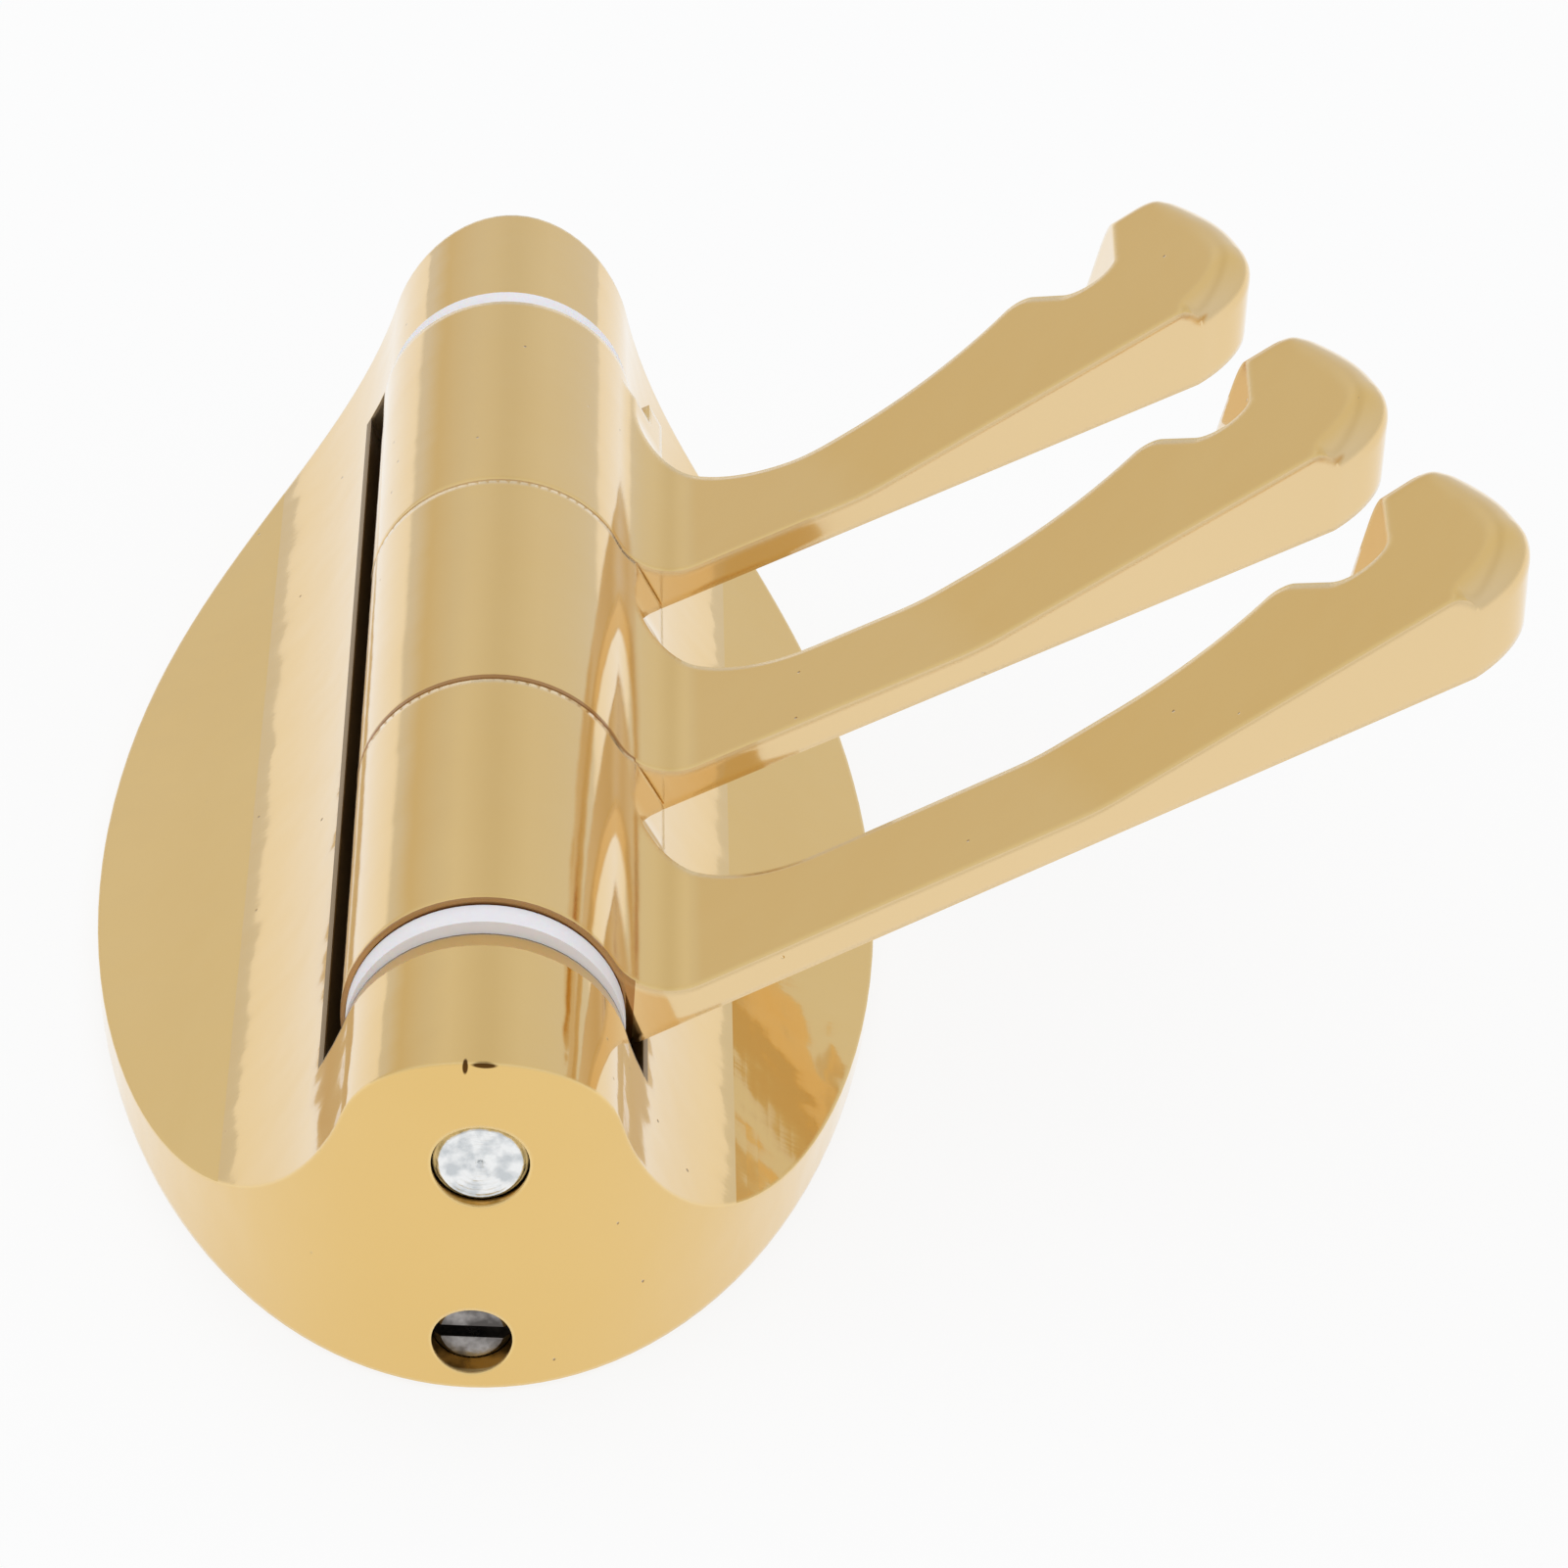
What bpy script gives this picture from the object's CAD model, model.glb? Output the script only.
import math

import bpy
from mathutils import Matrix, Vector


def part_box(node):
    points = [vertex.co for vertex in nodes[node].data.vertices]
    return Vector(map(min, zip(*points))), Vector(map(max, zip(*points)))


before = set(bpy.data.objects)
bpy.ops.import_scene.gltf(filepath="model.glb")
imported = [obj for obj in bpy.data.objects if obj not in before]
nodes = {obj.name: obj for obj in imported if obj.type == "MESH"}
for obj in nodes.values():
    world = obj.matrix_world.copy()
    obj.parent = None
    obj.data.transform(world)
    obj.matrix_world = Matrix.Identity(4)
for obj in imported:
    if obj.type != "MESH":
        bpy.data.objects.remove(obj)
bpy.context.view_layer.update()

# Base: one zinc casting with an oval foot and a round ridge along the middle, cut away for the
# hinge. It is polished all over and plated a pale gold under a clear lacquer, with soft ripples
# and faint lines from the polishing wheel, edges rounded by it and a few tiny pits.
GOLD = (0.80, 0.535, 0.165, 1.0)
GOLD_DEEP = (0.775, 0.50, 0.135, 1.0)
GOLD_EDGE = (0.86, 0.62, 0.24, 1.0)
PIT_BROWN = (0.30, 0.17, 0.04, 1.0)
LACQUER_IOR = 1.7
LACQUER_ROUGHNESS = 0.03
LEAST_EDGE_TURN = 0.65
WHEEL_LINE_DEPTH = 0.0000015
PIT_DEPTH = 0.00004


def new_material(name, metallic):
    material = bpy.data.materials.new(name)
    material.use_nodes = True
    tree = material.node_tree
    shader = tree.nodes["Principled BSDF"]
    shader.inputs["Metallic"].default_value = metallic
    place = tree.nodes.new("ShaderNodeTexCoord").outputs["Object"]
    return material, tree, shader, place


def noise(tree, vector, scale, detail):
    texture = tree.nodes.new("ShaderNodeTexNoise")
    texture.inputs["Scale"].default_value = scale
    texture.inputs["Detail"].default_value = detail
    tree.links.new(vector, texture.inputs["Vector"])
    return texture.outputs["Fac"]


def remap(tree, value, start, end, low=0.0, high=1.0):
    span = tree.nodes.new("ShaderNodeMapRange")
    span.inputs["From Min"].default_value = start
    span.inputs["From Max"].default_value = end
    span.inputs["To Min"].default_value = low
    span.inputs["To Max"].default_value = high
    tree.links.new(value, span.inputs["Value"])
    return span.outputs["Result"]


def blend(tree, amount, first, second, kind="RGBA"):
    mixed = tree.nodes.new("ShaderNodeMix")
    mixed.data_type = kind
    tree.links.new(amount, mixed.inputs["Factor"])
    for side, value in (("A", first), ("B", second)):
        if isinstance(value, tuple):
            mixed.inputs[side].default_value = value
        else:
            tree.links.new(value, mixed.inputs[side])
    return mixed.outputs["Result"]


def relief(tree, height, depth, below=None, sunk=False):
    bump = tree.nodes.new("ShaderNodeBump")
    bump.invert = sunk
    bump.inputs["Distance"].default_value = depth
    tree.links.new(height, bump.inputs["Height"])
    if below is not None:
        tree.links.new(below, bump.inputs["Normal"])
    return bump.outputs["Normal"]


def placed(tree, vector, scale, location=(0.0, 0.0, 0.0)):
    mapping = tree.nodes.new("ShaderNodeMapping")
    mapping.inputs["Location"].default_value = location
    mapping.inputs["Scale"].default_value = scale
    tree.links.new(vector, mapping.inputs["Vector"])
    return mapping.outputs["Vector"]


def length_of(tree, vector):
    measure = tree.nodes.new("ShaderNodeVectorMath")
    measure.operation = "LENGTH"
    tree.links.new(vector, measure.inputs[0])
    return measure.outputs["Value"]


def reckon(tree, operation, first, second=0.0):
    step = tree.nodes.new("ShaderNodeMath")
    step.operation = operation
    for socket, value in zip(step.inputs, (first, second)):
        if isinstance(value, float):
            socket.default_value = value
        else:
            tree.links.new(value, socket)
    return step.outputs["Value"]


def split_of(tree, vector):
    split = tree.nodes.new("ShaderNodeSeparateXYZ")
    tree.links.new(vector, split.inputs["Vector"])
    return split.outputs


def polished_gold(name, ripple_scale, ripple_depth, edge_round):
    gold, tree, shader, place = new_material(name, metallic=1.0)
    shader.inputs["Coat Weight"].default_value = 1.0
    shader.inputs["Coat IOR"].default_value = LACQUER_IOR
    shader.inputs["Coat Roughness"].default_value = LACQUER_ROUGHNESS

    cloud = noise(tree, place, scale=60.0, detail=4.0)
    tone = blend(tree, cloud, GOLD, GOLD_DEEP)
    haze = remap(tree, cloud, start=0.3, end=0.7, low=0.05, high=0.11)
    tree.links.new(haze, shader.inputs["Roughness"])

    soft_edge = tree.nodes.new("ShaderNodeBevel")
    soft_edge.samples = 6
    soft_edge.inputs["Radius"].default_value = edge_round
    flat = tree.nodes.new("ShaderNodeNewGeometry").outputs["Normal"]
    dot = tree.nodes.new("ShaderNodeVectorMath")
    dot.operation = "DOT_PRODUCT"
    tree.links.new(soft_edge.outputs["Normal"], dot.inputs[0])
    tree.links.new(flat, dot.inputs[1])
    turn = dot.outputs["Value"]
    sound = reckon(tree, "GREATER_THAN", turn, LEAST_EDGE_TURN)
    rounded = blend(tree, sound, flat, soft_edge.outputs["Normal"], kind="VECTOR")
    worn = blend(tree, remap(tree, turn, start=0.99, end=0.85), tone, GOLD_EDGE)

    cells = tree.nodes.new("ShaderNodeTexVoronoi")
    cells.inputs["Scale"].default_value = 260.0
    tree.links.new(place, cells.inputs["Vector"])
    pit = remap(tree, cells.outputs["Distance"], start=0.036, end=0.018)
    marked = blend(tree, pit, worn, PIT_BROWN)
    tree.links.new(marked, shader.inputs["Base Color"])

    ripple = noise(tree, place, scale=ripple_scale, detail=2.0)
    swell = relief(tree, ripple, ripple_depth, rounded)
    along = placed(tree, place, scale=(0.12, 0.12, 1.0))
    wheel = noise(tree, along, scale=2600.0, detail=2.0)
    lines = relief(tree, wheel, WHEEL_LINE_DEPTH, swell)
    dent = relief(tree, pit, PIT_DEPTH, lines, sunk=True)
    tree.links.new(dent, shader.inputs["Normal"])
    tree.links.new(dent, shader.inputs["Coat Normal"])
    return gold, tree, shader, place, {
        "colour": marked, "haze": haze, "rounded": rounded, "swell": swell.node.inputs["Normal"],
    }


base_gold, tree, shader, place, made = polished_gold(
    "base_gold", ripple_scale=140.0, ripple_depth=0.00010, edge_round=0.0004
)
nodes["base"].material_slots[0].material = base_gold

# Past the hollow of the flank the wings look flatter in the photograph than the casting's curve,
# so a bump turns their polish to match.
FLANK_END = 0.0165
WING_RUN = 0.0081
WING_TURN = 0.65
WING_REST = 0.105
WING_FACES_FRONT = -0.5
spot = split_of(tree, place)
out = reckon(tree, "ABSOLUTE", spot["X"])
past = reckon(tree, "MAXIMUM", reckon(tree, "SUBTRACT", out, FLANK_END), 0.0)
near = reckon(tree, "MINIMUM", past, WING_RUN)
bend = reckon(tree, "MULTIPLY", near, (WING_TURN - WING_REST) / (2.0 * WING_RUN))
climb = reckon(tree, "MULTIPLY", near, reckon(tree, "SUBTRACT", WING_TURN, bend))
rest = reckon(tree, "MULTIPLY", reckon(tree, "SUBTRACT", past, near), WING_REST)
facing = tree.nodes.new("ShaderNodeNewGeometry").outputs["True Normal"]
wing = reckon(tree, "LESS_THAN", split_of(tree, facing)["Y"], WING_FACES_FRONT)
lay = reckon(tree, "MULTIPLY", reckon(tree, "ADD", climb, rest), wing)
tree.links.new(relief(tree, lay, depth=1.0, below=made["rounded"]), made["swell"])

# The trough under the knuckles shows dark, so it is taken as dull and unlacquered, as cast.
AS_CAST = (0.34, 0.25, 0.15, 1.0)
CAST_ROUGHNESS = 0.4
TROUGH_HALF_WIDTH = 0.01043
TROUGH_HALF_LENGTH = 0.0401
within = reckon(tree, "LESS_THAN", out, TROUGH_HALF_WIDTH)
length = reckon(tree, "ABSOLUTE", spot["Z"])
trough = reckon(tree, "MULTIPLY", within, reckon(tree, "LESS_THAN", length, TROUGH_HALF_LENGTH))
colour = blend(tree, trough, made["colour"], AS_CAST)
grit = reckon(tree, "MULTIPLY", trough, CAST_ROUGHNESS)
tree.links.new(reckon(tree, "ADD", made["haze"], grit), shader.inputs["Roughness"])

# A small nick and a flat chip show dark in the ridge's lower end edge.
CHIP_BROWN = (0.10, 0.045, 0.01, 1.0)
CHIPS = (
    ((-0.00120, -0.02495, -0.05345), (0.00020, 0.00062, 0.00060)),
    ((-0.00005, -0.02515, -0.05345), (0.00088, 0.00024, 0.00030)),
)
bare = trough
for middle, size in CHIPS:
    scale = [1.0 / side for side in size]
    location = [-at / side for at, side in zip(middle, size)]
    reach = length_of(tree, placed(tree, place, scale, location))
    inside = remap(tree, reach, start=1.0, end=0.7)
    colour = blend(tree, inside, colour, CHIP_BROWN)
    bare = reckon(tree, "MAXIMUM", bare, inside)
tree.links.new(colour, shader.inputs["Base Color"])
tree.links.new(reckon(tree, "SUBTRACT", 1.0, bare), shader.inputs["Coat Weight"])

# Wall bracket: a steel strip with its ends folded forward, screwed to the wall inside the base.
# It is zinc plated, so its grey is cloudy, with the fine lines of the rolled strip along it.
ZINC = (0.62, 0.62, 0.60, 1.0)
ZINC_DULL = (0.46, 0.47, 0.47, 1.0)
ROLLED_DEPTH = 0.000015
bracket_steel, tree, shader, place = new_material("bracket_steel", metallic=1.0)
bloom = noise(tree, place, scale=180.0, detail=5.0)
tree.links.new(blend(tree, bloom, ZINC, ZINC_DULL), shader.inputs["Base Color"])
haze = remap(tree, bloom, start=0.0, end=1.0, low=0.28, high=0.48)
tree.links.new(haze, shader.inputs["Roughness"])
along = placed(tree, place, scale=(1.0, 1.0, 0.03))
rolled = noise(tree, along, scale=3000.0, detail=2.0)
tree.links.new(relief(tree, rolled, ROLLED_DEPTH), shader.inputs["Normal"])
nodes["wall_bracket"].material_slots[0].material = bracket_steel

# Set screw: a slotted grub screw of blackened steel, screwed up through the lower end of the base.
# The oxide is patchy and rubbed to bare steel where the driver has turned it.
SCREW_BLACK = (0.10, 0.092, 0.088, 1.0)
SCREW_RUBBED = (0.36, 0.34, 0.33, 1.0)
OXIDE_DEPTH = 0.00006
screw_steel, tree, shader, place = new_material("screw_steel", metallic=1.0)
patch = noise(tree, place, scale=700.0, detail=4.0)
rubbed = remap(tree, patch, start=0.42, end=0.68)
tree.links.new(blend(tree, rubbed, SCREW_BLACK, SCREW_RUBBED), shader.inputs["Base Color"])
haze = remap(tree, rubbed, start=0.0, end=1.0, low=0.38, high=0.20)
tree.links.new(haze, shader.inputs["Roughness"])
tree.links.new(relief(tree, patch, OXIDE_DEPTH), shader.inputs["Normal"])
nodes["set_screw"].material_slots[0].material = screw_steel

# Pivot pin: a turned steel pin with a bright zinc plate, driven in through the base's lower end.
# Its end keeps the rings of the facing cut and duller patches, and is dark where it meets the hole.
PIN_BRIGHT = (0.92, 0.93, 0.93, 1.0)
PIN_DULL = (0.62, 0.65, 0.67, 1.0)
PIN_RIM = (0.11, 0.10, 0.09, 1.0)
RIM_START = 0.95
RIM_END = 0.985
RING_DEPTH = 0.00003
PLATE_DEPTH = 0.00012
pin_low, pin_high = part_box("pivot_pin")
pin_middle = [(pin_low[axis] + pin_high[axis]) / 2 for axis in range(3)]
pin_radius = (pin_high[0] - pin_low[0]) / 2
pin_steel, tree, shader, place = new_material("pin_steel", metallic=1.0)
centre = placed(tree, place, (1.0, 1.0, 0.0), (-pin_middle[0], -pin_middle[1], 0.0))
rings = tree.nodes.new("ShaderNodeTexWave")
rings.wave_type = "RINGS"
rings.rings_direction = "Z"
rings.inputs["Scale"].default_value = 900.0
rings.inputs["Distortion"].default_value = 2.5
rings.inputs["Detail"].default_value = 2.0
tree.links.new(centre, rings.inputs["Vector"])
patch = noise(tree, place, scale=900.0, detail=3.0)
plate = blend(tree, remap(tree, patch, start=0.36, end=0.58), PIN_DULL, PIN_BRIGHT)
reach = length_of(tree, centre)
rim = remap(tree, reach, start=RIM_START * pin_radius, end=RIM_END * pin_radius)
tree.links.new(blend(tree, rim, plate, PIN_RIM), shader.inputs["Base Color"])
haze = remap(tree, patch, start=0.0, end=1.0, low=0.22, high=0.42)
tree.links.new(haze, shader.inputs["Roughness"])
turned = relief(tree, rings.outputs["Fac"], RING_DEPTH)
tree.links.new(relief(tree, patch, PLATE_DEPTH, turned), shader.inputs["Normal"])
nodes["pivot_pin"].material_slots[0].material = pin_steel

# Washers: two white nylon rings between the knuckles and the ends of the base.
# They are turned, slightly see-through at the rim, with a dull, finely grained face.
NYLON = (0.95, 0.935, 0.965, 1.0)
NYLON_SHADE = (0.89, 0.865, 0.905, 1.0)
NYLON_GLOW = 0.15
NYLON_GLOW_REACH = 0.0006
GRAIN_DEPTH = 0.00003
nylon, tree, shader, place = new_material("nylon", metallic=0.0)
shader.inputs["Subsurface Weight"].default_value = NYLON_GLOW
shader.inputs["Subsurface Scale"].default_value = NYLON_GLOW_REACH
grain = noise(tree, place, scale=1100.0, detail=4.0)
tree.links.new(blend(tree, grain, NYLON, NYLON_SHADE), shader.inputs["Base Color"])
haze = remap(tree, grain, start=0.0, end=1.0, low=0.35, high=0.60)
tree.links.new(haze, shader.inputs["Roughness"])
tree.links.new(relief(tree, grain, GRAIN_DEPTH), shader.inputs["Normal"])
for washer in ("washer_lower", "washer_upper"):
    nodes[washer].material_slots[0].material = nylon

# Hooks: three zinc castings, each a bored knuckle with a flat arm and an upturned tip, on the pin.
# They are polished and plated like the base. The undersides are tinted paler and the lower rims
# of two knuckles browner, as the polish shows them in the photograph.
UNDER_PALE = (0.80, 0.585, 0.29, 1.0)
UNDER_START = -0.2
UNDER_END = -0.9
SEAM_BROWN = (0.40, 0.18, 0.02, 1.0)
SEAMS = ((-0.01245, 0.00022), (-0.03795, 0.00010))
KNUCKLE_RADIUS = 0.0093
hook_gold, tree, shader, place, made = polished_gold(
    "hook_gold", ripple_scale=120.0, ripple_depth=0.00008, edge_round=0.0008
)
facing = tree.nodes.new("ShaderNodeNewGeometry").outputs["Normal"]
under = remap(tree, split_of(tree, facing)["Z"], start=UNDER_START, end=UNDER_END)
colour = blend(tree, under, made["colour"], UNDER_PALE)
spot = split_of(tree, place)
knuckle = reckon(tree, "LESS_THAN", spot["X"], KNUCKLE_RADIUS)
for level, half in SEAMS:
    off = reckon(tree, "ABSOLUTE", reckon(tree, "SUBTRACT", spot["Z"], level))
    seam = reckon(tree, "MULTIPLY", reckon(tree, "LESS_THAN", off, half), knuckle)
    colour = blend(tree, seam, colour, SEAM_BROWN)
tree.links.new(colour, shader.inputs["Base Color"])
for hook in ("hook_lower", "hook_middle", "hook_upper"):
    nodes[hook].material_slots[0].material = hook_gold

# Backdrop: a white board that the hook lies against, seen only from its front.
# It shows itself and its reflection as plain white, and still takes a faint shadow.
BOARD_GAP = 0.0004
BOARD_HALF = 3.0
BOARD_WHITE = (0.93, 0.93, 0.93, 1.0)
BOARD_ROUGHNESS = 0.9
BOARD_SHOWN = 0.85
board_mesh = bpy.data.meshes.new("board")
corners = [(-BOARD_HALF, BOARD_GAP, -BOARD_HALF), (BOARD_HALF, BOARD_GAP, -BOARD_HALF),
           (BOARD_HALF, BOARD_GAP, BOARD_HALF), (-BOARD_HALF, BOARD_GAP, BOARD_HALF)]
board_mesh.from_pydata(corners, [], [(0, 1, 2, 3)])
board = bpy.data.objects.new("board", board_mesh)
bpy.context.scene.collection.objects.link(board)
board_white = bpy.data.materials.new("board_white")
board_white.use_nodes = True
tree = board_white.node_tree
shader = tree.nodes["Principled BSDF"]
shader.inputs["Base Color"].default_value = BOARD_WHITE
shader.inputs["Roughness"].default_value = BOARD_ROUGHNESS
shader.inputs["Specular IOR Level"].default_value = 0.0
glow = tree.nodes.new("ShaderNodeEmission").outputs["Emission"]
ray = tree.nodes.new("ShaderNodeLightPath").outputs
seen = reckon(tree, "MAXIMUM", ray["Is Camera Ray"], ray["Is Glossy Ray"])
through = reckon(tree, "MAXIMUM", seen, ray["Is Transmission Ray"])
shown = reckon(tree, "MULTIPLY", through, BOARD_SHOWN)
side = tree.nodes.new("ShaderNodeNewGeometry").outputs["Backfacing"]
clear = tree.nodes.new("ShaderNodeBsdfTransparent").outputs["BSDF"]
front = tree.nodes.new("ShaderNodeMixShader")
pick = tree.nodes.new("ShaderNodeMixShader")
for choice, amount, first, second in (
    (front, shown, shader.outputs["BSDF"], glow),
    (pick, side, front.outputs["Shader"], clear),
):
    tree.links.new(amount, choice.inputs["Fac"])
    tree.links.new(first, choice.inputs[1])
    tree.links.new(second, choice.inputs[2])
tree.links.new(pick.outputs["Shader"], tree.nodes["Material Output"].inputs["Surface"])
board_mesh.materials.append(board_white)

# Light: a tall soft box in front of the board, kept out of the polish, and a pale grey room.
# The room is a little warmer low on the left and dimmer straight ahead, as the polish shows it.
BOX_WIDTH = 1.0
BOX_HEIGHT = 2.0
BOX_POWER = 3.4
BOX_PLACE = (0.0, -1.5, -0.1)
LEFT_SIDE = (
    (0.0, (0.74, 0.75, 0.77, 1.0)),
    (0.07, (0.74, 0.74, 0.75, 1.0)),
    (0.205, (0.71, 0.65, 0.51, 1.0)),
    (0.40, (0.75, 0.755, 0.765, 1.0)),
    (0.50, (0.80, 0.815, 0.85, 1.0)),
)
AHEAD = (
    (0.0, (0.74, 0.75, 0.76, 1.0)),
    (1.0, (0.72, 0.715, 0.70, 1.0)),
)
RIGHT_SIDE = (
    (0.0, (0.76, 0.77, 0.78, 1.0)),
    (0.5, (0.785, 0.80, 0.83, 1.0)),
)
TURN_START = 0.04
TURN_END = 0.28
scene = bpy.context.scene
box_light = bpy.data.lights.new("soft_box", "AREA")
box_light.shape = "RECTANGLE"
box_light.size = BOX_WIDTH
box_light.size_y = BOX_HEIGHT
box_light.energy = BOX_POWER
soft_box = bpy.data.objects.new("soft_box", box_light)
scene.collection.objects.link(soft_box)
soft_box.location = BOX_PLACE
soft_box.rotation_euler = (math.radians(90.0), 0.0, 0.0)
soft_box.visible_glossy = False

world = bpy.data.worlds.new("room")
scene.world = world
world.use_nodes = True
tree = world.node_tree
toward = split_of(tree, tree.nodes.new("ShaderNodeTexCoord").outputs["Generated"])
height = remap(tree, toward["Y"], start=0.0, end=-1.0)
views = []
for stops in (LEFT_SIDE, AHEAD, RIGHT_SIDE):
    shade = tree.nodes.new("ShaderNodeValToRGB")
    ramp = shade.color_ramp
    ramp.elements[0].position, ramp.elements[0].color = stops[0]
    ramp.elements[1].position, ramp.elements[1].color = stops[-1]
    for position, tint in stops[1:-1]:
        ramp.elements.new(position).color = tint
    tree.links.new(height, shade.inputs["Fac"])
    views.append(shade.outputs["Color"])
left, ahead, right_hand = views
to_middle = remap(tree, toward["X"], start=-TURN_END, end=-TURN_START)
to_right = remap(tree, toward["X"], start=TURN_START, end=TURN_END)
walls = blend(tree, to_right, blend(tree, to_middle, left, ahead), right_hand)
tree.links.new(walls, tree.nodes["Background"].inputs["Color"])
scene.view_settings.view_transform = "Standard"

# Camera: below and in front of the hook, where the photograph was taken from.
# It has a long lens, level with the hook's own lean in the picture.
CAMERA_PLACE = Vector((-0.002049, -0.237393, -0.338208))
CAMERA_RIGHT = Vector((0.99751699, -0.06746762, -0.02019842))
CAMERA_UP = Vector((-0.04473147, -0.82848176, 0.55822672))
CAMERA_BACK = Vector((-0.05439625, -0.55593713, -0.82944255))
SENSOR_WIDTH = 36.0
FOCAL_PIXELS = 5995.87
PICTURE_PIXELS = 1601.0
lens = bpy.data.cameras.new("camera")
lens.sensor_fit = "HORIZONTAL"
lens.sensor_width = SENSOR_WIDTH
lens.lens = SENSOR_WIDTH * FOCAL_PIXELS / PICTURE_PIXELS
lens.clip_start = 0.01
lens.clip_end = 50.0
camera = bpy.data.objects.new("camera", lens)
scene.collection.objects.link(camera)
turned = Matrix((CAMERA_RIGHT, CAMERA_UP, CAMERA_BACK)).transposed()
camera.matrix_world = Matrix.LocRotScale(CAMERA_PLACE, turned, None)
scene.camera = camera
